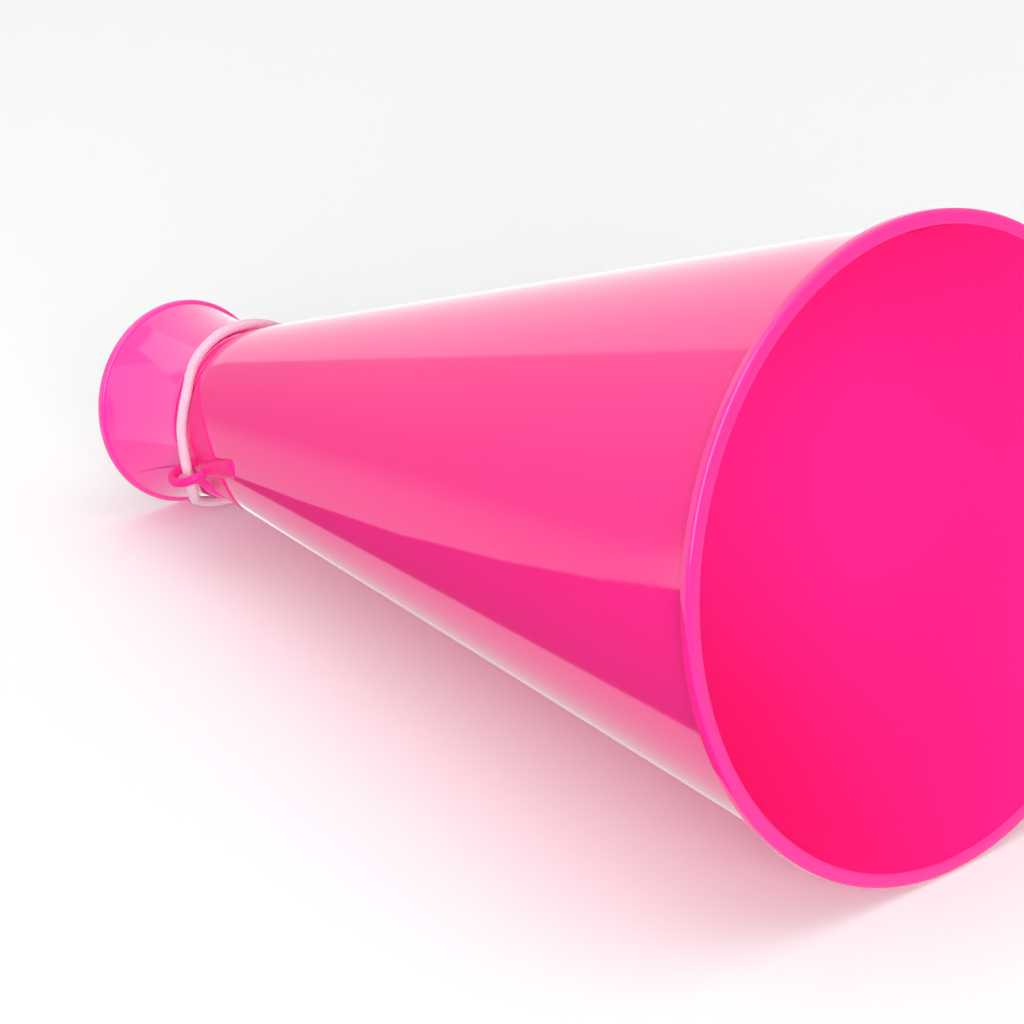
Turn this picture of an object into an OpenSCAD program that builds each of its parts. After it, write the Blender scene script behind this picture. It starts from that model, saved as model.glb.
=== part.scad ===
// Hand-held cheer megaphone: a thin moulded cone with a square bell rim, a
// flared mouthpiece plugged into its small end, an eyelet on the shoulder and
// a cord lanyard. It lies on its side: the bell rim and the mouthpiece lip
// touch Z = 0, +X points to the bell, and the horn's axis lies in the XZ plane.
// Along the horn, distances are measured from the front face of the bell.

/* [Cone] */
// Outside diameter of the bell rim
bell_d = 130; // [128:0.5:132]
// Outside diameter of the cone just behind the rim
cone_d = 125.7; // [124:0.1:126]
// Thickness of the rim along the horn
rim_depth = 2.1; // [1.8:0.1:4]
// Radius on the outer front edge of the rim
rim_round = 0.8; // [0.3:0.1:1.2]
// Wall thickness of the cone, square to its surface
cone_wall = 1.2; // [1:0.1:1.6]
// Outside diameter at the shoulder, where the straight cone ends
shoulder_d = 43.2; // [42.4:0.1:44]
// Place of the shoulder along the horn
shoulder_at = 213; // [211:0.5:214]

/* [Neck groove] */
// Diameter of the groove's floor, where the cord lies
groove_d = 40.4; // [39.6:0.1:41]
// Where the groove's floor starts
groove_from = 215.5; // [215:0.1:216]
// Where the cone ends and the mouthpiece starts
joint_at = 216; // [215.5:0.5:217]
// Where the groove's floor ends
groove_to = 220; // [219:0.5:221]
// Diameter of the socket that takes the mouthpiece's spigot
socket_d = 38; // [37.6:0.1:38.4]
// Length of the socket
socket_len = 7; // [5:0.5:9]

/* [Mouthpiece] */
// Overall length of the horn
total_len = 247.2; // [245:0.1:250]
// Outside diameter of the mouthpiece's lip
lip_d = 50.3; // [49:0.1:52]
// Outside diameter of the mouthpiece next to the groove
flare_d = 42.6; // [42:0.1:43.4]
// Width of the lip along the horn
lip_width = 2.4; // [2:0.1:3]
// Wall thickness of the mouthpiece
mouth_wall = 1.4; // [1.2:0.1:1.6]

/* [Eyelet] */
// Angle of the eyelet round the horn, below the level of its axis
eyelet_angle = 17.5; // [15:0.5:20]
// Place of the hoop's centre along the horn
hoop_at = 212; // [211:0.5:213]
// Distance of the hoop's centre from the horn's axis
hoop_out = 24.8; // [24.4:0.1:25.4]
// Mean radius of the hoop
hoop_r = 4.6; // [4.4:0.1:4.8]
// Thickness of the hoop's round section
hoop_thick = 2.3; // [2:0.1:2.4]

/* [Lanyard] */
// Diameter of the braided cord
cord_d = 2.6; // [2.4:0.1:2.8]
// Radius of the coil at the middle of its turns
coil_r = 14.3; // [13:0.1:15.6]
// Size of the knot across
knot_d = 8; // [7:0.5:9]

/* [Hidden] */

pink = "#fb4fa2";
deep_pink = "#f93a90";
rose = "#fb62b0";
cord_pink = "#f9cfe0";
white = "#f4f1f2";

round_fn = 160;
small_fn = 32;
cord_sides = 8;
steps = 12;
edge_round = 0.3;
slip = 0.05;
eps = 0.01;

cone_slope = (cone_d - shoulder_d) / 2 / (shoulder_at - rim_depth);
wall_across = cone_wall * sqrt(1 + cone_slope * cone_slope);
cone_front_r = cone_d / 2 + cone_slope * rim_depth;
socket_from = joint_at - socket_len;
ramp_from = socket_from - 3;
spigot_r = socket_d / 2 - slip;
flare_from = groove_to + 1;
lip_from = total_len - lip_width;
lip_step = 0.8;
flare_power = 2.2;
throat_r = spigot_r - cone_wall;
throat_to = groove_to - 2;

// The horn leans so that the back edge of the rim and the lip both touch the floor.
lip_touch = total_len - 1;
lean = atan((bell_d - lip_d) / 2 / (lip_touch - rim_depth));
bell_x = (total_len * cos(lean) - (bell_d - lip_d) / 2 * sin(lean)) / 2;
bell_z = bell_d / 2 * cos(lean) + rim_depth * sin(lean);

function cone_out(at) = cone_front_r - cone_slope * at;
function cone_in(at) = cone_out(at) - wall_across;
function between(a, b, t) = a + (b - a) * t;
function ease(t) = t * t * (3 - 2 * t);
function flare_share(at) = pow(max(0, (at - flare_from) / (lip_from - flare_from)), flare_power);
function flare_out(at) = between(flare_d / 2, lip_d / 2 - lip_step, flare_share(at));
function arc(centre, r, from, to, n = 6) =
    [for (i = [0 : n]) centre + r * [cos(between(from, to, i / n)), sin(between(from, to, i / n))]];

// Outlines are lists of [distance from the axis, distance from the bell's front face].
shoulder = [for (i = [0 : steps])
    let (t = i / steps, at = between(shoulder_at, groove_from, t))
    [between(cone_out(at), groove_d / 2, ease(t)), at]];
cone_outline = concat(
    arc([cone_in(0) + edge_round, edge_round], edge_round, 180, 270),
    arc([bell_d / 2 - rim_round, rim_round], rim_round, -90, 0),
    [[bell_d / 2, rim_depth], [cone_out(rim_depth), rim_depth]],
    shoulder,
    [[groove_d / 2, joint_at], [socket_d / 2, joint_at],
        [socket_d / 2, socket_from], [cone_in(ramp_from), ramp_from]]);

flare = [for (i = [0 : steps]) let (at = between(flare_from, lip_from, i / steps)) [flare_out(at), at]];
lip = concat(
    arc([lip_d / 2 - lip_step, lip_from + lip_step], lip_step, -90, 0),
    arc([lip_d / 2 - 1, total_len - 1], 1, 0, 90),
    arc([lip_d / 2 - mouth_wall - 1, total_len - 0.5], 0.5, 90, 180));
flare_inside = [for (i = [steps : -1 : 0])
    let (at = between(flare_from + 1, lip_from, i / steps)) [flare_out(at) - mouth_wall, at]];
throat = [for (i = [steps : -1 : 0])
    let (t = i / steps)
    [between(throat_r, flare_out(flare_from + 1) - mouth_wall, ease(t)),
        between(throat_to - 4, flare_from + 1, t)]];
mouthpiece_outline = concat(
    [[throat_r, socket_from + slip], [spigot_r, socket_from + slip], [spigot_r, joint_at],
        [groove_d / 2, joint_at], [groove_d / 2, groove_to],
        [flare_d / 2 - 0.4, groove_to + 0.3], [flare_d / 2, flare_from]],
    flare, lip, flare_inside, throat);

// The cord's route, in millimetres from the origin. It starts in the knot behind
// the neck, passes below the neck, through the eyelet and back over the top.
neck_route = [
    [-99.5, 24, 23.5], [-101.5, 20.5, 17.5], [-103, 16.5, 12.5], [-105, 11.5, 7.5],
    [-106, 5, 4.5], [-106, -2.5, 4.5], [-104, -8.5, 6.5], [-100.5, -14, 9.5],
    [-95.5, -18.5, 13], [-91.7, -21.8, 18], [-91.2, -23.3, 23], [-93.2, -22.8, 28.5],
    [-94.9, -21.6, 33.5], [-95.9, -19.1, 40], [-98.8, -14.5, 45.5], [-100, -8, 49.5],
    [-100, -1, 51], [-99.5, 6.5, 50], [-98.5, 13.5, 46.5], [-98, 18.5, 41],
    [-98, 22.5, 35], [-98.5, 24.5, 32]];
// From the knot down to the floor and to the coil.
down_route = [
    [-100, 28, 24], [-101, 30, 17], [-101, 31.5, 10], [-99.5, 33.5, 4.5],
    [-96.5, 36, 2.5], [-92.5, 38.5, 2], [-89.5, 42, 2]];
// From the coil back up to the knot.
back_route = [
    [-70, 27.5, 6], [-77, 26.5, 5.5], [-84, 26, 6.5], [-90, 26.5, 10],
    [-95, 27, 16], [-97.5, 27, 23.5]];
knot_at = [-99, 26.5, 28];
coil_at = [-70, 46.5];
coil_floor = 0.7;
coil_rows = 3;
coil_layers = 3;
turn_gap = 0.1;
tie_thick = 0.6;
tie_width = 5;
tie_turn = 35;

coil_half = (coil_rows * (cord_d + turn_gap)) / 2;
coil_high = cord_d * (1 + (coil_layers - 1) * 0.97);

// A Catmull-Rom curve through the route's points.
function curve_at(p, i, t) =
    let (a = p[max(i - 1, 0)], b = p[i], c = p[i + 1], d = p[min(i + 2, len(p) - 1)])
    (2 * b + (c - a) * t + (2 * a - 5 * b + 4 * c - d) * t * t
        + (3 * b - a - 3 * c + d) * t * t * t) / 2;
function curve(p, n) = concat(
    [for (i = [0 : len(p) - 2]) for (k = [0 : n - 1]) curve_at(p, i, k / n)], [p[len(p) - 1]]);
function unit(v) = v / norm(v);
function square_to(v, along) = unit(v - (v * along) * along);
function along_at(line, i) = unit(line[min(i + 1, len(line) - 1)] - line[max(i - 1, 0)]);
// One side direction for each ring, carried along the line without twisting.
function sides_of(line) = [
    for (i = 0, side = square_to([0, 0, 1], along_at(line, 0)); i < len(line);
        i = i + 1, side = i < len(line) ? square_to(side, along_at(line, i)) : side) side];

module cone_body(outline) {
    translate([bell_x, 0, bell_z])
        rotate([0, -90 - lean, 0])
            rotate_extrude($fn = round_fn) polygon(outline);
}

// Places children in the horn's own frame: Z along it from the bell, X out to the eyelet.
module at_eyelet() {
    translate([bell_x, 0, bell_z])
        rotate([0, -90 - lean, 0])
            rotate([0, 0, -90 - eyelet_angle]) children();
}

module cord_tube(route, n = 1) {
    line = curve(route, n);
    side = sides_of(line);
    count = len(line);
    points = [for (i = [0 : count - 1])
        let (along = along_at(line, i), other = cross(along, side[i]))
        for (k = [0 : cord_sides - 1])
        let (turn = 360 * k / cord_sides)
        line[i] + cord_d / 2 * (cos(turn) * side[i] + sin(turn) * other)];
    skin = [for (i = [0 : count - 2]) for (k = [0 : cord_sides - 1])
        let (next = (k + 1) % cord_sides, here = i * cord_sides, there = here + cord_sides)
        [here + k, there + k, there + next, here + next]];
    start = [for (k = [0 : cord_sides - 1]) k];
    end = [for (k = [cord_sides - 1 : -1 : 0]) (count - 1) * cord_sides + k];
    polyhedron(points, concat(skin, [start], [end]));
}

module bell_cone() {
    color(pink) cone_body(cone_outline);
}

module mouthpiece() {
    color(rose) cone_body(mouthpiece_outline);
}

module lanyard_eyelet() {
    lug_r = 2;
    color(deep_pink)
        difference() {
            at_eyelet() union() {
                translate([hoop_out, 0, hoop_at])
                    rotate([90, 0, 0])
                        rotate_extrude($fn = 48)
                            translate([hoop_r, 0]) circle(d = hoop_thick, $fn = 24);
                hull() {
                    translate([cone_out(207) - 0.2, 0.8, 207]) sphere(lug_r, $fn = small_fn);
                    translate([cone_out(193.5) - 0.9, 3.8, 193.5]) sphere(lug_r, $fn = small_fn);
                }
            }
            cone_body(concat(
                [[0, rim_depth], [cone_out(rim_depth) + slip, rim_depth]],
                [for (p = shoulder) p + [slip, 0]],
                [[groove_d / 2 + slip, groove_to], [0, groove_to]]));
        }
}

module neck_turn() {
    color(cord_pink) cord_tube(neck_route);
}

module lead_down() {
    color(cord_pink) cord_tube(down_route);
}

module lead_back() {
    color(cord_pink) cord_tube(back_route);
}

module coil_section(grow) {
    corner = cord_d / 2;
    translate([coil_r - coil_half, 0])
        hull()
            for (x = [corner, 2 * coil_half - corner], z = [corner, coil_high - corner])
                translate([x, z]) circle(r = corner + grow, $fn = small_fn);
}

module lanyard_coil() {
    color(cord_pink)
        translate([coil_at.x, coil_at.y, coil_floor])
            rotate_extrude($fn = 96) coil_section(0);
}

module lanyard_knot() {
    color(cord_pink)
        translate(knot_at) sphere(d = knot_d, $fn = small_fn);
}

module coil_tie() {
    half_turn = asin(tie_width / 2 / coil_r);
    color(white)
        translate([coil_at.x, coil_at.y, coil_floor])
            rotate([0, 0, tie_turn - half_turn])
                rotate_extrude(angle = 2 * half_turn, $fn = 96)
                    difference() {
                        coil_section(tie_thick);
                        coil_section(slip);
                    }
}

bell_cone();
mouthpiece();
lanyard_eyelet();
neck_turn();
lead_down();
lead_back();
lanyard_coil();
lanyard_knot();
coil_tie();
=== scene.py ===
"""Cheer megaphone with its lanyard: the visible pieces, their materials and a plain studio.

The horn's own frame has Z along its axis from the bell's front face towards the
mouthpiece, and X towards the camera's side, so outlines are lists of
(distance from the axis, distance from the bell's front face) in millimetres.
"""

import math

import bmesh
import bpy
from mathutils import Matrix, Vector


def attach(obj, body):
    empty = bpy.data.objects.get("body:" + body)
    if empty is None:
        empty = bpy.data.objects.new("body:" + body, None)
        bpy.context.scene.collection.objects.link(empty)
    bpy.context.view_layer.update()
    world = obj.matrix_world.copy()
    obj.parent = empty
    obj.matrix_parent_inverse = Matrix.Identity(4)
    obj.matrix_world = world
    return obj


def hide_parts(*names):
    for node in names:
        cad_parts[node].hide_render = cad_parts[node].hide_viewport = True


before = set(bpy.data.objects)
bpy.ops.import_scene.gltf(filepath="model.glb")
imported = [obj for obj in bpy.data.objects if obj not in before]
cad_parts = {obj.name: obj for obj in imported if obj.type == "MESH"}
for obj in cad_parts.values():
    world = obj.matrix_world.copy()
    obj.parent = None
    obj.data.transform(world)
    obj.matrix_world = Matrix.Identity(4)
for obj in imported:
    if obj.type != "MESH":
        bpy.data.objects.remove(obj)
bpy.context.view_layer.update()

MM = 0.001

# ---- sizes shared with the CAD part, in millimetres ------------------------

BELL_R = 65.0
CONE_BACK_R = 62.85
RIM_DEPTH = 2.1
RIM_ROUND = 0.8
WALL = 1.2
SHOULDER_R, SHOULDER_AT = 21.6, 213.0
GROOVE_R, GROOVE_FROM, GROOVE_TO = 20.2, 215.5, 220.0
JOINT_AT = 216.0
TOTAL = 247.2
LIP_R, LIP_WIDTH, LIP_STEP = 25.15, 2.4, 0.8
FLARE_R, FLARE_FROM, FLARE_POWER = 21.3, 221.0, 2.2
MOUTH_WALL = 1.4
THROAT_R, THROAT_FROM = 17.75, 214.0
SOCKET_R, SOCKET_AT = 19.0, 209.0
SEAM = 0.12
EYELET_ANGLE = math.radians(17.5)
HOOP_AT, HOOP_OUT, HOOP_R, HOOP_THICK = 212.0, 24.8, 4.6, 2.3
CORD_D = 2.6

SLOPE = (CONE_BACK_R - SHOULDER_R) / (SHOULDER_AT - RIM_DEPTH)
WALL_ACROSS = WALL * math.hypot(1, SLOPE)
LEAN = math.atan((BELL_R - LIP_R) / (TOTAL - 1 - RIM_DEPTH))
BELL_X = (TOTAL * math.cos(LEAN) - (BELL_R - LIP_R) * math.sin(LEAN)) / 2
BELL_Z = BELL_R * math.cos(LEAN) + RIM_DEPTH * math.sin(LEAN)

# Columns are the horn frame's X, Y and Z in the part's frame, then its origin, in metres.
ALONG = Vector((-math.cos(LEAN), 0, -math.sin(LEAN)))
TO_CAMERA_SIDE = Vector((0, -1, 0))
HORN = Matrix.Translation(Vector((BELL_X, 0, BELL_Z)) * MM) @ (
    Matrix((TO_CAMERA_SIDE, ALONG.cross(TO_CAMERA_SIDE), ALONG)).transposed().to_4x4()
    @ Matrix.Scale(MM, 4)
)


def cone_out(at):
    """The cone's outer radius, by distance from the bell's front face."""
    return CONE_BACK_R + SLOPE * (RIM_DEPTH - at)


def ease(t):
    t = min(max(t, 0.0), 1.0)
    return t * t * (3 - 2 * t)


def mix(a, b, t):
    return a + (b - a) * t


def surface_r(at):
    """The outer radius of the cone, its shoulder and the groove."""
    if at <= SHOULDER_AT:
        return cone_out(at)
    return mix(cone_out(at), GROOVE_R, ease((at - SHOULDER_AT) / (GROOVE_FROM - SHOULDER_AT)))


# ---- camera ------------------------------------------------------------------

CAMERA_PLACE = (0.4643, -0.4139, 0.3020)
CAMERA_TURN = (math.radians(66.74), 0, math.radians(48.39))
CAMERA_LENS = 108.56


def make_camera():
    camera = bpy.data.objects.new("camera", bpy.data.cameras.new("camera"))
    bpy.context.scene.collection.objects.link(camera)
    camera.location = CAMERA_PLACE
    camera.rotation_euler = CAMERA_TURN
    camera.data.lens = CAMERA_LENS
    camera.data.sensor_width = 36
    camera.data.clip_start = 0.01
    camera.data.clip_end = 20
    bpy.context.scene.camera = camera


make_camera()

# ---- mesh helpers --------------------------------------------------------------


def add_object(name, mesh, material, body="root"):
    piece = bpy.data.objects.new(name, mesh)
    bpy.context.scene.collection.objects.link(piece)
    if material is not None:
        mesh.materials.append(material)
    for face in mesh.polygons:
        face.use_smooth = True
    if body:
        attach(piece, body)
    return piece


def arc(centre, r, start, end, n=6):
    """Points of an arc; angles in degrees from the first axis."""
    turns = [math.radians(mix(start, end, i / n)) for i in range(n + 1)]
    return [(centre[0] + r * math.cos(a), centre[1] + r * math.sin(a)) for a in turns]


def lathe(name, outline, material, sides=240):
    """A closed outline turned about the horn's axis, with UVs that run from 0 to 1 round the axis and
    along the outline.
    """
    mesh = bmesh.new()
    uv = mesh.loops.layers.uv.new("UVMap")
    rings = []
    for k in range(sides):
        turn = 2 * math.pi * k / sides
        rings.append([mesh.verts.new(HORN @ Vector((r * math.cos(turn), r * math.sin(turn), at)))
                      for r, at in outline])
    run = [0.0]
    for (r0, a0), (r1, a1) in zip(outline, outline[1:] + outline[:1]):
        run.append(run[-1] + math.hypot(r1 - r0, a1 - a0))
    for k in range(sides):
        here, there = rings[k], rings[(k + 1) % sides]
        for i in range(len(outline)):
            j = (i + 1) % len(outline)
            face = mesh.faces.new((here[i], there[i], there[j], here[j]))
            corners = ((k, i), (k + 1, i), (k + 1, i + 1), (k, i + 1))
            for loop, (turn, step) in zip(face.loops, corners):
                loop[uv].uv = (turn / sides, run[step] / run[-1])
    bmesh.ops.recalc_face_normals(mesh, faces=mesh.faces)
    made = bpy.data.meshes.new(name)
    mesh.to_mesh(made)
    mesh.free()
    piece = add_object(name, made, material)
    made.set_sharp_from_angle(angle=math.radians(35))
    return piece


# ---- cord --------------------------------------------------------------------

# The same points as the CAD part's routes, in millimetres.
NECK_ROUTE = [
    (-99.5, 24, 23.5), (-101.5, 20.5, 17.5), (-103, 16.5, 12.5), (-105, 11.5, 7.5),
    (-106, 5, 4.5), (-106, -2.5, 4.5), (-104, -8.5, 6.5), (-100.5, -14, 9.5),
    (-95.5, -18.5, 13), (-91.7, -21.8, 18), (-91.2, -23.3, 23), (-93.2, -22.8, 28.5),
    (-94.9, -21.6, 33.5), (-95.9, -19.1, 40), (-98.8, -14.5, 45.5), (-100, -8, 49.5),
    (-100, -1, 51), (-99.5, 6.5, 50), (-98.5, 13.5, 46.5), (-98, 18.5, 41),
    (-98, 22.5, 35), (-98.5, 24.5, 32)]
DOWN_ROUTE = [
    (-100, 28, 24), (-101, 30, 17), (-101, 31.5, 10), (-99.5, 33.5, 4.5),
    (-96.5, 36, 2.5), (-92.5, 38.5, 2), (-89.5, 42, 2)]
BACK_ROUTE = [
    (-70, 27.5, 6), (-77, 26.5, 5.5), (-84, 26, 6.5), (-90, 26.5, 10),
    (-95, 27, 16), (-97.5, 27, 23.5)]
KNOT_AT = Vector((-99, 26.5, 28))
COIL_AT = Vector((-70, 46.5))
COIL_R = 14.3
TURN_PITCH = 2.7
LAYER_AT = (2.0, 4.5, 7.05)
# One (row, layer) for each turn of the coil; row 0 is the outer one.
COIL_TURNS = [(0, 0), (1, 0), (2, 0), (2, 1), (1, 1), (0, 1), (0, 2)]
COIL_END = math.radians(-58)


def coil_points(per_turn=16):
    """The coil's turns, clockwise from its left, stepping to the next row or layer late in each turn."""
    total = math.pi - COIL_END + 2 * math.pi * (len(COIL_TURNS) - 1)
    count = round(total / (2 * math.pi) * per_turn)
    points = []
    for i in range(count + 1):
        run = total * i / count
        turn, share = divmod(run / (2 * math.pi), 1)
        row, layer = COIL_TURNS[int(turn)]
        next_row, next_layer = COIL_TURNS[min(int(turn) + 1, len(COIL_TURNS) - 1)]
        step = ease((share - 0.8) / 0.2)
        r = COIL_R + TURN_PITCH * (1 - mix(row, next_row, step))
        z = mix(LAYER_AT[layer], LAYER_AT[next_layer], step)
        angle = math.pi - run
        points.append((COIL_AT.x + r * math.cos(angle), COIL_AT.y + r * math.sin(angle), z))
    return points


def smooth_line(points, n):
    """A Catmull-Rom curve through the points, n pieces between each two."""
    p = [Vector(q) for q in points]
    line = []
    for i in range(len(p) - 1):
        a, b, c, d = p[max(i - 1, 0)], p[i], p[i + 1], p[min(i + 2, len(p) - 1)]
        for k in range(n):
            t = k / n
            line.append((2 * b + (c - a) * t + (2 * a - 5 * b + 4 * c - d) * t * t
                         + (3 * b - a - 3 * c + d) * t ** 3) / 2)
    return line + [p[-1]]


def evenly(line, step):
    """Points at an even step along the line, and the line's length."""
    run = [0.0]
    for a, b in zip(line, line[1:]):
        run.append(run[-1] + (b - a).length)
    count = round(run[-1] / step)
    points, i = [], 0
    for k in range(count + 1):
        want = run[-1] * k / count
        while i < len(line) - 2 and run[i + 1] < want:
            i += 1
        share = (want - run[i]) / max(run[i + 1] - run[i], 1e-9)
        points.append(line[i].lerp(line[i + 1], share))
    return points, run[-1]


PICKS_ROUND = 8
PICK_LENGTH = 0.8
RINGS_PER_PICK = 3
CORD_SIDES = PICKS_ROUND * 3
PICK_HEIGHT = 0.2


def braided_tube(name, points, material, radius=CORD_D / 2):
    """A tube along evenly spaced points, whose surface stands up in the picks of a round braid."""
    mesh = bmesh.new()
    uv = mesh.loops.layers.uv.new("UVMap")
    count = len(points)
    along = [(points[min(i + 1, count - 1)] - points[max(i - 1, 0)]).normalized() for i in range(count)]
    side = Vector((0, 0, 1)).cross(along[0]).normalized()
    rings = []
    for i in range(count):
        side = (side - side.dot(along[i]) * along[i]).normalized()
        other = along[i].cross(side)
        ring = []
        for k in range(CORD_SIDES):
            turn = k / CORD_SIDES
            left = math.sin(math.pi * (PICKS_ROUND * turn + i / RINGS_PER_PICK))
            right = math.sin(math.pi * (PICKS_ROUND * turn - i / RINGS_PER_PICK))
            r = radius - PICK_HEIGHT * (1 - abs(left * right))
            angle = 2 * math.pi * turn
            out = math.cos(angle) * side + math.sin(angle) * other
            ring.append(mesh.verts.new((points[i] + r * out) * MM))
        rings.append(ring)
    for i in range(count - 1):
        for k in range(CORD_SIDES):
            j = (k + 1) % CORD_SIDES
            face = mesh.faces.new((rings[i][k], rings[i][j], rings[i + 1][j], rings[i + 1][k]))
            corners = ((k, i), (k + 1, i), (k + 1, i + 1), (k, i + 1))
            for loop, (turn, step) in zip(face.loops, corners):
                loop[uv].uv = (turn / CORD_SIDES, step / (RINGS_PER_PICK * PICKS_ROUND))
    for ring, end in ((rings[0], points[0] - along[0] * 0.5), (rings[-1], points[-1] + along[-1] * 0.5)):
        tip = mesh.verts.new(end * MM)
        for k in range(CORD_SIDES):
            mesh.faces.new((ring[k], ring[(k + 1) % CORD_SIDES], tip))
    bmesh.ops.recalc_face_normals(mesh, faces=mesh.faces)
    made = bpy.data.meshes.new(name)
    mesh.to_mesh(made)
    mesh.free()
    return add_object(name, made, material)


def knot_points():
    """A closed overhand knot about the knot's place, and the two tails that leave it."""
    size, depth = 1.25, 1.4
    loop = []
    for i in range(4, 60):
        t = 2 * math.pi * i / 64
        loop.append(KNOT_AT + Vector((size * (math.sin(t) + 2 * math.sin(2 * t)),
                                      -depth * math.sin(3 * t) * 1.1,
                                      size * (math.cos(t) - 2 * math.cos(2 * t)))))
    start = loop[0] + Vector((3.2, 2.2, -7.5))
    end = loop[-1] + Vector((-4.2, 1.6, -6.8))
    return [start, start.lerp(loop[0], 0.5) + Vector((0.6, 0, 0.4))] + loop + [
        end.lerp(loop[-1], 0.5) - Vector((0.6, 0, -0.4)), end]


def make_cord(material):
    route = NECK_ROUTE + [tuple(KNOT_AT)] + DOWN_ROUTE + coil_points() + BACK_ROUTE
    points, length = evenly(smooth_line(route, 12), PICK_LENGTH / RINGS_PER_PICK)
    cord = braided_tube("lanyard_cord", points, material)
    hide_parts("neck_turn", "lead_down", "lead_back", "lanyard_coil")
    knot_line, _ = evenly(smooth_line(knot_points(), 6), PICK_LENGTH / RINGS_PER_PICK)
    knot = braided_tube("lanyard_overhand_knot", knot_line, material, CORD_D / 2 * 1.02)
    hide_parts("lanyard_knot")
    return cord, knot, points, length


# ---- materials -----------------------------------------------------------------


def new_material(name):
    material = bpy.data.materials.new(name)
    material.use_nodes = True
    tree = material.node_tree
    shader = tree.nodes["Principled BSDF"]
    return material, tree, shader


def node(tree, kind, **values):
    made = tree.nodes.new(kind)
    for key, value in values.items():
        if hasattr(made, key):
            setattr(made, key, value)
        else:
            made.inputs[key.replace("_", " ")].default_value = value
    return made


def noise_node(tree, place, scale, detail=3.0):
    made = node(tree, "ShaderNodeTexNoise", Scale=scale, Detail=detail)
    tree.links.new(place, made.inputs["Vector"])
    return made


def moulded_plastic(name, colour, deeper, roughness, waviness, painted_glow=None, specular=0.5):
    """Glossy moulded plastic: faint colour drift, slow waviness, fine texture and polish marks.

    The last argument, when given, holds a second, lighter colour for deep inside the cone, painted light
    that stands for light soaking through the thin wall, and the X of its start and of its end.
    """
    material, tree, shader = new_material(name)
    link = tree.links.new
    place = node(tree, "ShaderNodeTexCoord").outputs["Object"]
    drift = noise_node(tree, place, 14.0, 4.0)
    tint = node(tree, "ShaderNodeMix", data_type="RGBA")
    tint.inputs[6].default_value = (*colour, 1)
    tint.inputs[7].default_value = (*deeper, 1)
    fade = node(tree, "ShaderNodeMapRange")
    fade.inputs["From Min"].default_value = 0.35
    fade.inputs["From Max"].default_value = 0.75
    link(drift.outputs["Fac"], fade.inputs["Value"])
    link(fade.outputs["Result"], tint.inputs[0])
    surface = tint.outputs[2]
    if painted_glow:
        # Painted light: the colour turns lighter towards the deep end of the bore, standing for light that
        # soaks through the thin wall.
        glow_colour, start, end = painted_glow
        split = node(tree, "ShaderNodeSeparateXYZ")
        link(place, split.inputs[0])
        depth = node(tree, "ShaderNodeMapRange", interpolation_type="SMOOTHSTEP")
        depth.inputs["From Min"].default_value = start
        depth.inputs["From Max"].default_value = end
        link(split.outputs["X"], depth.inputs["Value"])
        glow = node(tree, "ShaderNodeMix", data_type="RGBA")
        glow.inputs[7].default_value = (*glow_colour, 1)
        link(surface, glow.inputs[6])
        link(depth.outputs["Result"], glow.inputs[0])
        surface = glow.outputs[2]
    link(surface, shader.inputs["Base Color"])
    polish = noise_node(tree, place, 160.0, 5.0)
    gloss = node(tree, "ShaderNodeMapRange")
    gloss.inputs["To Min"].default_value = roughness * 0.8
    gloss.inputs["To Max"].default_value = roughness * 1.35
    link(polish.outputs["Fac"], gloss.inputs["Value"])
    link(gloss.outputs["Result"], shader.inputs["Roughness"])
    slow = noise_node(tree, place, 22.0, 1.0)
    fine = noise_node(tree, place, 900.0, 2.0)
    wave = node(tree, "ShaderNodeBump", Strength=1.0, Distance=waviness)
    link(slow.outputs["Fac"], wave.inputs["Height"])
    grain = node(tree, "ShaderNodeBump", Strength=0.35, Distance=0.000012)
    link(fine.outputs["Fac"], grain.inputs["Height"])
    link(wave.outputs["Normal"], grain.inputs["Normal"])
    link(grain.outputs["Normal"], shader.inputs["Normal"])
    shader.inputs["IOR"].default_value = 1.5
    shader.inputs["Specular IOR Level"].default_value = specular
    return material


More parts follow.
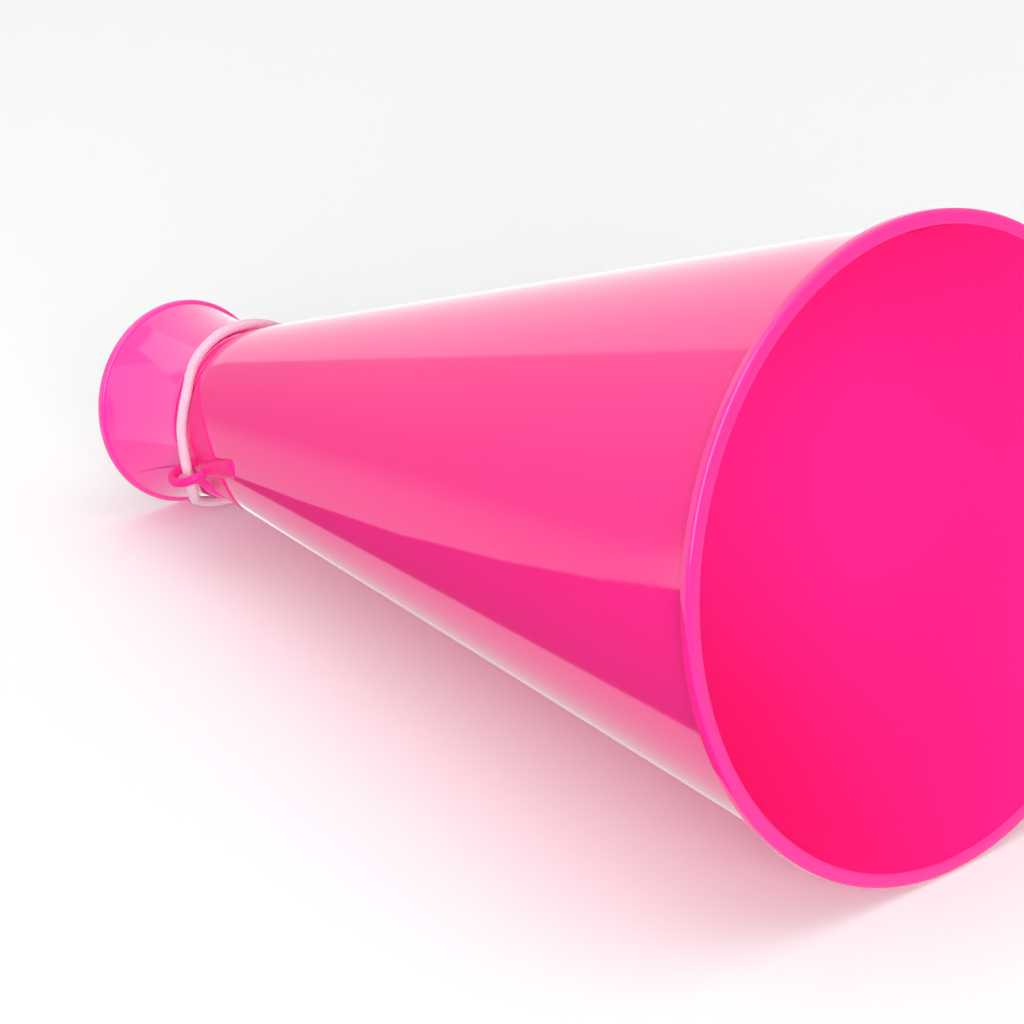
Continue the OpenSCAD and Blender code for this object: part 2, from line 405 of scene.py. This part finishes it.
def braided_cord(name, colour, gap_shade_colour):
    """Soft cord: the picks stand up and catch the light, the gaps between them are painted darker as
    painted shade, with fine fibres along each pick.
    """
    material, tree, shader = new_material(name)
    link = tree.links.new
    coords = node(tree, "ShaderNodeTexCoord")
    split = node(tree, "ShaderNodeSeparateXYZ")
    link(coords.outputs["UV"], split.inputs[0])

    def maths(kind, a, b=None):
        made = node(tree, "ShaderNodeMath", operation=kind)
        for socket, value in zip(made.inputs, (a, b)):
            if value is None:
                continue
            if isinstance(value, (int, float)):
                socket.default_value = value
            else:
                link(value, socket)
        return made.outputs[0]

    turn = maths("MULTIPLY", split.outputs["X"], PICKS_ROUND * math.pi)
    run = maths("MULTIPLY", split.outputs["Y"], PICKS_ROUND * math.pi)
    left = maths("SINE", maths("ADD", turn, run))
    right = maths("SINE", maths("SUBTRACT", turn, run))
    pick = maths("ABSOLUTE", maths("MULTIPLY", left, right))
    fuzz = noise_node(tree, coords.outputs["Object"], 2400.0, 2.0)
    # Painted shade: the colour goes from the cord's own colour on the picks to a darker colour in the gaps
    # between them.
    tint = node(tree, "ShaderNodeMix", data_type="RGBA")
    tint.inputs[6].default_value = (*gap_shade_colour, 1)
    tint.inputs[7].default_value = (*colour, 1)
    shade = maths("MULTIPLY", fuzz.outputs["Fac"], 0.35)
    link(maths("ADD", maths("POWER", pick, 0.5), maths("SUBTRACT", shade, 0.17)), tint.inputs[0])
    link(tint.outputs[2], shader.inputs["Base Color"])
    relief = node(tree, "ShaderNodeBump", Strength=0.8, Distance=0.00012)
    link(pick, relief.inputs["Height"])
    fibres = node(tree, "ShaderNodeBump", Strength=0.5, Distance=0.00005)
    link(fuzz.outputs["Fac"], fibres.inputs["Height"])
    link(relief.outputs["Normal"], fibres.inputs["Normal"])
    link(fibres.outputs["Normal"], shader.inputs["Normal"])
    rough = node(tree, "ShaderNodeMapRange")
    rough.inputs["To Min"].default_value = 0.55
    rough.inputs["To Max"].default_value = 0.8
    link(fuzz.outputs["Fac"], rough.inputs["Value"])
    link(rough.outputs["Result"], shader.inputs["Roughness"])
    shader.inputs["Sheen Weight"].default_value = 0.35
    shader.inputs["Sheen Roughness"].default_value = 0.5
    return material


def paper_tie(name):
    """White coated paper band, slightly creased, with painted shade: darker where the crease bump sinks.
    """
    material, tree, shader = new_material(name)
    link = tree.links.new
    place = node(tree, "ShaderNodeTexCoord").outputs["Object"]
    creases_and_shade = noise_node(tree, place, 1200.0, 3.0)
    # Painted shade: the paper turns darker where the crease bump is low.
    tint = node(tree, "ShaderNodeMix", data_type="RGBA")
    tint.inputs[6].default_value = (0.80, 0.79, 0.80, 1)
    tint.inputs[7].default_value = (0.92, 0.91, 0.92, 1)
    link(creases_and_shade.outputs["Fac"], tint.inputs[0])
    link(tint.outputs[2], shader.inputs["Base Color"])
    bump = node(tree, "ShaderNodeBump", Strength=0.4, Distance=0.00006)
    link(creases_and_shade.outputs["Fac"], bump.inputs["Height"])
    link(bump.outputs["Normal"], shader.inputs["Normal"])
    shader.inputs["Roughness"].default_value = 0.45
    return material


CONE_PINK = moulded_plastic("cone_pink", (0.98, 0.018, 0.26), (0.98, 0.015, 0.245), 0.07, 0.00006)
# The bore's material carries painted light: its colour turns lighter towards the deep end of the bore.
INSIDE_PINK = moulded_plastic("cone_inside", (0.98, 0.020, 0.26), (0.98, 0.0175, 0.245), 0.1, 0.00006,
                              ((0.98, 0.042, 0.48), 0.1, -0.03))
MOUTH_PINK = moulded_plastic("mouthpiece_pink", (0.98, 0.035, 0.34), (0.98, 0.03, 0.32), 0.08, 0.00003)
EYELET_PINK = moulded_plastic("eyelet_pink", (0.97, 0.013, 0.24), (0.95, 0.01, 0.21), 0.36, 0.00003,
                              specular=0.2)
# The second colour is painted shade for the gaps between the picks.
CORD_PINK = braided_cord("lanyard_cord", (0.93, 0.62, 0.74), (0.66, 0.20, 0.38))
TIE_WHITE = paper_tie("tie_white")

cord, knot, cord_line, cord_length = make_cord(CORD_PINK)

# ---- horn ----------------------------------------------------------------------


def face_is_inside(face):
    """True for the cone's bore: its faces point towards the horn's axis."""
    place = HORN.inverted() @ face.center
    normal = HORN.to_3x3().inverted() @ face.normal
    return place.z > 1 and normal.x * place.x + normal.y * place.y < 0


def make_cone():
    corner = 0.15
    inner = cone_out(0) - WALL_ACROSS
    ends = [mix(SHOULDER_AT, GROOVE_FROM, i / 16) for i in range(17)]
    shoulder = [(surface_r(at), at) for at in ends]
    places = [RIM_DEPTH + 0.3, RIM_DEPTH + 0.5, RIM_DEPTH + 1.2, RIM_DEPTH + 3]
    places += [mix(RIM_DEPTH + 6, SHOULDER_AT, i / 24) for i in range(24)]
    straight = [(cone_out(at), at) for at in places]
    bore = [mix(SOCKET_AT - 3, 1, i / 24) for i in range(25)]
    inside = [(cone_out(at) - WALL_ACROSS, at) for at in bore]
    outline = (
        arc((inner + 0.3, 0.3), 0.3, 180, 270)
        + arc((BELL_R - RIM_ROUND, RIM_ROUND), RIM_ROUND, -90, 0, 10)
        + arc((BELL_R - corner, RIM_DEPTH - corner), corner, 0, 90, 4)
        + [(cone_out(RIM_DEPTH) + 0.3, RIM_DEPTH), (cone_out(RIM_DEPTH) + 0.09, RIM_DEPTH + 0.09)]
        + straight + shoulder
        + [(GROOVE_R, JOINT_AT - SEAM), (GROOVE_R - SEAM, JOINT_AT)]
        + [(SOCKET_R, JOINT_AT), (SOCKET_R, SOCKET_AT)]
        + inside)
    cone = lathe("cone_shell", outline, CONE_PINK, 320)
    cone.data.materials.append(INSIDE_PINK)
    for face in cone.data.polygons:
        face.material_index = 1 if face_is_inside(face) else 0
    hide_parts("bell_cone")
    return cone


def flare_out(at):
    share = max(0.0, (at - FLARE_FROM) / (TOTAL - LIP_WIDTH - FLARE_FROM)) ** FLARE_POWER
    return mix(FLARE_R, LIP_R - LIP_STEP, share)


def make_mouthpiece():
    lip_from = TOTAL - LIP_WIDTH
    spigot_r = SOCKET_R - 0.05
    places = [mix(FLARE_FROM, lip_from, i / 24) for i in range(25)]
    flare = [(flare_out(at), at) for at in places]
    inside = [(flare_out(at) - MOUTH_WALL, at) for at in reversed(places[1:])]
    throat_end = (flare_out(places[1]) - MOUTH_WALL, places[1])
    throat = [(mix(throat_end[0], THROAT_R, ease(i / 10)), mix(throat_end[1], THROAT_FROM, i / 10))
              for i in range(1, 11)]
    outline = (
        [(THROAT_R, SOCKET_AT + 0.05), (spigot_r, SOCKET_AT + 0.05), (spigot_r, JOINT_AT),
         (GROOVE_R - SEAM, JOINT_AT), (GROOVE_R, JOINT_AT + SEAM), (GROOVE_R, GROOVE_TO - 0.25)]
        + arc((GROOVE_R + 0.25, GROOVE_TO - 0.25), 0.25, 180, 90, 4)
        + arc((FLARE_R - 0.5, GROOVE_TO + 0.5), 0.5, -90, 0, 6)
        + flare
        + arc((LIP_R - LIP_STEP, lip_from + LIP_STEP), LIP_STEP, -90, 0, 8)
        + arc((LIP_R - 1, TOTAL - 1), 1, 0, 90, 8)
        + arc((LIP_R - MOUTH_WALL - 1, TOTAL - 0.5), 0.5, 90, 180, 5)
        + inside + throat)
    mouthpiece = lathe("mouthpiece_flare", outline, MOUTH_PINK, 240)
    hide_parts("mouthpiece")
    return mouthpiece


# ---- eyelet --------------------------------------------------------------------

# The lug's start and end: place along the horn, shift upwards, height, half width and sink.
LUG_FROM = (205.0, 1.2, 1.8, 1.9, 0.3)
LUG_TO = (192.6, 4.1, 0.9, 2.6, -0.45)
LUG_BALL = 2.2
REMESH_STEP = 0.25
# The low satin band beside the lug.
BAND_END, BAND_DEPTH, BAND_TURN = 216.8, 17.2, math.radians(84)
BAND_REACH = math.radians(70)
BAND_HIGH, BAND_LOW = 0.5, 0.2


def on_horn(at, r, turn):
    """A point of the horn frame; turn is measured from the eyelet, upwards."""
    angle = turn - EYELET_ANGLE
    return Vector((r * math.cos(angle), r * math.sin(angle), at))


def band_edge(turn):
    """Where the band beside the lug starts along the horn: it runs up to the groove away from the lug."""
    return BAND_END - BAND_DEPTH * (1 - ease(abs(turn) / BAND_TURN))


def add_ball(mesh, place, radii, frame_matrix):
    matrix = HORN @ Matrix.Translation(place) @ frame_matrix @ Matrix.Diagonal((*radii, 1))
    bmesh.ops.create_icosphere(mesh, subdivisions=3, radius=1, matrix=matrix)


def make_eyelet():
    mesh = bmesh.new()
    # The hoop, a ring of round section in a plane through the horn's axis.
    spin = Matrix.Rotation(-EYELET_ANGLE, 4, "Z")
    hoop = []
    for i in range(64):
        a = 2 * math.pi * i / 64
        ring = []
        for k in range(24):
            b = 2 * math.pi * k / 24
            r = HOOP_R + HOOP_THICK / 2 * math.cos(b)
            place = Vector((HOOP_OUT + r * math.cos(a), HOOP_THICK / 2 * math.sin(b), 0))
            place.z = HOOP_AT + r * math.sin(a)
            ring.append(mesh.verts.new(HORN @ (spin @ place)))
        hoop.append(ring)
    for i in range(64):
        for k in range(24):
            j = (k + 1) % 24
            mesh.faces.new((hoop[i][k], hoop[i][j], hoop[(i + 1) % 64][j], hoop[(i + 1) % 64][k]))
    # The lug: balls that shrink towards its tongue.
    for i in range(15):
        t = i / 14
        at, across, high, _, sink = (mix(a, b, t) for a, b in zip(LUG_FROM, LUG_TO))
        wide = mix(LUG_FROM[3], LUG_TO[3], ease(t * 1.5))
        place = spin @ Vector((cone_out(at) + sink, across, at))
        add_ball(mesh, place, (high, wide, LUG_BALL), spin)
    bmesh.ops.recalc_face_normals(mesh, faces=mesh.faces)
    made = bpy.data.meshes.new("eyelet")
    mesh.to_mesh(made)
    mesh.free()
    eyelet = add_object("eyelet", made, EYELET_PINK)
    remesh = eyelet.modifiers.new("blend", "REMESH")
    remesh.mode = "VOXEL"
    remesh.voxel_size = REMESH_STEP * MM
    relax = eyelet.modifiers.new("relax", "SMOOTH")
    relax.iterations = 6
    relax.factor = 0.5
    apply_modifiers(eyelet)
    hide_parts("lanyard_eyelet")
    return eyelet


def apply_modifiers(piece):
    graph = bpy.context.evaluated_depsgraph_get()
    finished = bpy.data.meshes.new_from_object(piece.evaluated_get(graph))
    piece.modifiers.clear()
    piece.data = finished
    for face in finished.polygons:
        face.use_smooth = True


def make_band():
    """The low band that runs from the lug round the shoulder and fills up to the groove."""
    steps, across = 120, 40
    mesh = bmesh.new()
    rows = []
    for i in range(steps + 1):
        turn = mix(-BAND_REACH, BAND_REACH, i / steps)
        share = abs(turn) / BAND_REACH
        height = mix(BAND_HIGH, BAND_LOW, share) * ease((1 - share) * 8)
        start = band_edge(turn)
        end = max(start + 0.3, GROOVE_FROM)
        row = []
        for k in range(across + 1):
            t = k / across
            at = mix(start, end, t)
            rise = ease((at - start) / 0.6) * mix(1.0, 0.3, t) * ease((1 - t) * 12)
            r = surface_r(at) - 0.04 + height * rise
            row.append(mesh.verts.new(HORN @ on_horn(at, r, turn)))
        rows.append(row)
    for i in range(steps):
        for k in range(across):
            mesh.faces.new((rows[i][k], rows[i + 1][k], rows[i + 1][k + 1], rows[i][k + 1]))
    bmesh.ops.recalc_face_normals(mesh, faces=mesh.faces)
    made = bpy.data.meshes.new("eyelet_rib")
    mesh.to_mesh(made)
    mesh.free()
    rib = add_object("eyelet_rib", made, EYELET_PINK)
    return rib


# ---- tie -----------------------------------------------------------------------

TIE_TURN = math.radians(35)
TIE_HALF_WIDTH = 2.0
TIE_THICK, TIE_RIDGE = 0.25, 0.3
TWIST_LENGTH, TWIST_TURNS = 9, 2.5


def make_tie():
    """A flat band round the coil, its two ends twisted together on top."""
    corner = CORD_D / 2 + 0.35
    half = 1.5 * TURN_PITCH - CORD_D / 2 - 0.05
    low, high = LAYER_AT[0], LAYER_AT[2]
    section = []
    corners = ((half, high, 0), (-half, LAYER_AT[1] + 0.3, 90), (-half, low, 180), (half, low, 270))
    for x, z, start in corners:
        section += arc((x, z), corner, start, start + 90, 6)
    outward = Vector((math.cos(TIE_TURN), math.sin(TIE_TURN), 0))
    sideways = Vector((-outward.y, outward.x, 0))
    centre = Vector((COIL_AT.x, COIL_AT.y, 0)) + outward * COIL_R
    mesh = bmesh.new()
    rings = []
    edge = TIE_HALF_WIDTH
    band = ((-edge, 0), (-edge, TIE_THICK), (-0.5, 0.26), (0, TIE_RIDGE),
            (0.5, 0.26), (edge, TIE_THICK), (edge, 0))
    for x, z in section:
        mid = Vector((0, (low + high) / 2))
        out = (Vector((x, z)) - mid).normalized()
        ring = []
        for w, h in band:
            place = centre + outward * (x + out.x * h) + sideways * w + Vector((0, 0, z + out.y * h))
            ring.append(mesh.verts.new(place * MM))
        rings.append(ring)
    for i, ring in enumerate(rings):
        after = rings[(i + 1) % len(rings)]
        for k in range(len(ring)):
            j = (k + 1) % len(ring)
            mesh.faces.new((ring[k], ring[j], after[j], after[k]))
    # The twisted ends: two strips wound round each other, leaning over the coil.
    base = centre + outward * (half * 0.6) + Vector((0, 0, high + corner + 0.1))
    lean = (Vector((0, 0, 1)) + sideways * 0.8 - outward * 0.5).normalized()
    side = lean.cross(outward).normalized()
    other = lean.cross(side)
    for phase in (0, math.pi):
        strip = []
        for i in range(41):
            t = i / 40
            wind = phase + t * TWIST_TURNS * 2 * math.pi
            spread = 0.55 + 2.2 * ease((t - 0.75) * 4)
            away = side * math.cos(wind) + other * math.sin(wind)
            core = base + lean * (TWIST_LENGTH * t) + away * spread
            edge = (side * -math.sin(wind) + other * math.cos(wind)) * 0.9
            face_out = away * 0.15
            corners = (-edge - face_out, -edge + face_out, edge + face_out, edge - face_out)
            strip.append([mesh.verts.new((core + corner) * MM) for corner in corners])
        for a, b in zip(strip, strip[1:]):
            for k in range(4):
                j = (k + 1) % 4
                mesh.faces.new((a[k], a[j], b[j], b[k]))
        mesh.faces.new(strip[0])
        mesh.faces.new(strip[-1])
    bmesh.ops.recalc_face_normals(mesh, faces=mesh.faces)
    made = bpy.data.meshes.new("coil_twist_tie")
    mesh.to_mesh(made)
    mesh.free()
    tie = add_object("coil_twist_tie", made, TIE_WHITE)
    made.set_sharp_from_angle(angle=math.radians(50))
    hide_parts("coil_tie")
    return tie


make_cone()
make_mouthpiece()
make_eyelet()
make_band()
tie = make_tie()

# ---- studio --------------------------------------------------------------------


FLOOR_SIZE = 4.0
WORLD_FILL = 0.55
# Brightness that mirrors see, by height: 0 is straight down and 1 is straight up.
WORLD_STOPS = [(0.0, 0.85), (0.33, 0.9), (0.37, 0.85), (0.43, 0.5), (0.5, 0.55), (0.585, 0.7),
               (0.67, 0.85), (1.0, 0.9)]


def make_floor():
    mesh = bpy.data.meshes.new("floor")
    corners = [(x * FLOOR_SIZE, y * FLOOR_SIZE, 0) for x, y in ((-1, -1), (1, -1), (1, 1), (-1, 1))]
    mesh.from_pydata(corners, [], [(0, 1, 2, 3)])
    material, tree, shader = new_material("floor")
    shader.inputs["Base Color"].default_value = (0.95, 0.95, 0.95, 1)
    shader.inputs["Roughness"].default_value = 0.9
    shader.inputs["Specular IOR Level"].default_value = 0.1
    floor = add_object("floor", mesh, material, body=None)
    # The cone mirrors the cards instead of the floor, as on a lit table.
    floor.visible_glossy = False
    floor.visible_diffuse = False
    return floor


def make_card(name, corners, strength):
    """A studio card that only shows as a reflection."""
    mesh = bpy.data.meshes.new(name)
    mesh.from_pydata([Vector(c) * MM for c in corners], [], [tuple(range(len(corners)))])
    material = bpy.data.materials.new(name)
    material.use_nodes = True
    tree = material.node_tree
    tree.nodes.clear()
    glow = node(tree, "ShaderNodeEmission", Strength=strength)
    glow.inputs["Color"].default_value = (1, 1, 1, 1)
    out = node(tree, "ShaderNodeOutputMaterial")
    tree.links.new(glow.outputs[0], out.inputs["Surface"])
    card = add_object(name, mesh, material, body=None)
    card.visible_camera = False
    card.visible_diffuse = False
    card.visible_shadow = False
    card.visible_transmission = False
    return card


def make_softbox(name, place, target, size, power, seen=True):
    lamp = bpy.data.lights.new(name, "AREA")
    lamp.shape = "RECTANGLE"
    lamp.size, lamp.size_y = size
    lamp.energy = power
    box = bpy.data.objects.new(name, lamp)
    bpy.context.scene.collection.objects.link(box)
    box.location = place
    box.rotation_euler = (Vector(target) - Vector(place)).to_track_quat("-Z", "Y").to_euler()
    box.visible_glossy = seen
    return box


def make_world():
    world = bpy.data.worlds.new("studio")
    bpy.context.scene.world = world
    world.use_nodes = True
    tree = world.node_tree
    link = tree.links.new
    tree.nodes.clear()
    coords = node(tree, "ShaderNodeTexCoord")
    split = node(tree, "ShaderNodeSeparateXYZ")
    link(coords.outputs["Generated"], split.inputs[0])
    height = node(tree, "ShaderNodeMapRange")
    height.inputs["From Min"].default_value = -1
    height.inputs["From Max"].default_value = 1
    link(split.outputs["Z"], height.inputs["Value"])
    ramp = node(tree, "ShaderNodeValToRGB")
    link(height.outputs["Result"], ramp.inputs[0])
    marks = ramp.color_ramp.elements
    while len(marks) < len(WORLD_STOPS):
        marks.new(0.5)
    for mark, (place, value) in zip(marks, WORLD_STOPS):
        mark.position = place
        mark.color = (value, value, value, 1)
    seen = node(tree, "ShaderNodeBackground")
    link(ramp.outputs["Color"], seen.inputs["Color"])
    fill = node(tree, "ShaderNodeBackground", Strength=WORLD_FILL)
    fill.inputs["Color"].default_value = (1, 1, 1, 1)
    paths = node(tree, "ShaderNodeLightPath")
    pick = node(tree, "ShaderNodeMixShader")
    link(paths.outputs["Is Glossy Ray"], pick.inputs[0])
    link(fill.outputs[0], pick.inputs[1])
    link(seen.outputs[0], pick.inputs[2])
    out = node(tree, "ShaderNodeOutputWorld")
    link(pick.outputs[0], out.inputs["Surface"])


def make_studio():
    make_floor()
    make_world()
    # Tall white card at the left, whose near edge draws the line along the top of the cone.
    make_card("white_card",
              [(-600, 40, -350), (-600, 1500, -350), (-600, 1500, 900), (-600, 40, 900)], 1.45)
    # Painted shade: a dim card on the table in front of the cone, seen only in reflections, darkens the
    # cone's reflection of the table there.
    shade_patch = [(-125, -23), (75, -63), (200, -88), (200, -260), (-150, -215),
            (-110, -162), (-76, -123), (-65, -90), (-72, -63), (-96, -42)]
    make_card("painted_shade_card", [(x, y, 0) for x, y in shade_patch], 0.12)
    # Two far cards that only the rim's side mirrors, one beside the set and one high behind it.
    make_card("side_card", [(-2819, -1376, -1732), (-1569, -2716, -1732),
                            (-1569, -2716, 1875), (-2819, -1376, 1875)], 1.5)
    make_card("high_card", [(-3000, 1600, 1300), (-3000, -1463, 1300),
                            (-3000, -1463, 3000), (-3000, 1600, 3000)], 2.1)
    # A tall panel in front that draws the fine lines along the rim's corners.
    make_card("front_card", [(1141, -1626, 372), (1789, -864, 372),
                             (859, -74, 1828), (211, -836, 1828)], 5)
    # Low enough to reach the deep end of the bore.
    make_softbox("front", (1.15, -0.95, 0.45), (0, 0, 0.05), (1.0, 0.8), 25, seen=False)
    make_softbox("top", (-0.2, 0.3, 2.5), (0, 0, 0), (3.0, 3.0), 26.5)


make_studio()

bpy.context.scene.view_settings.view_transform = "Standard"
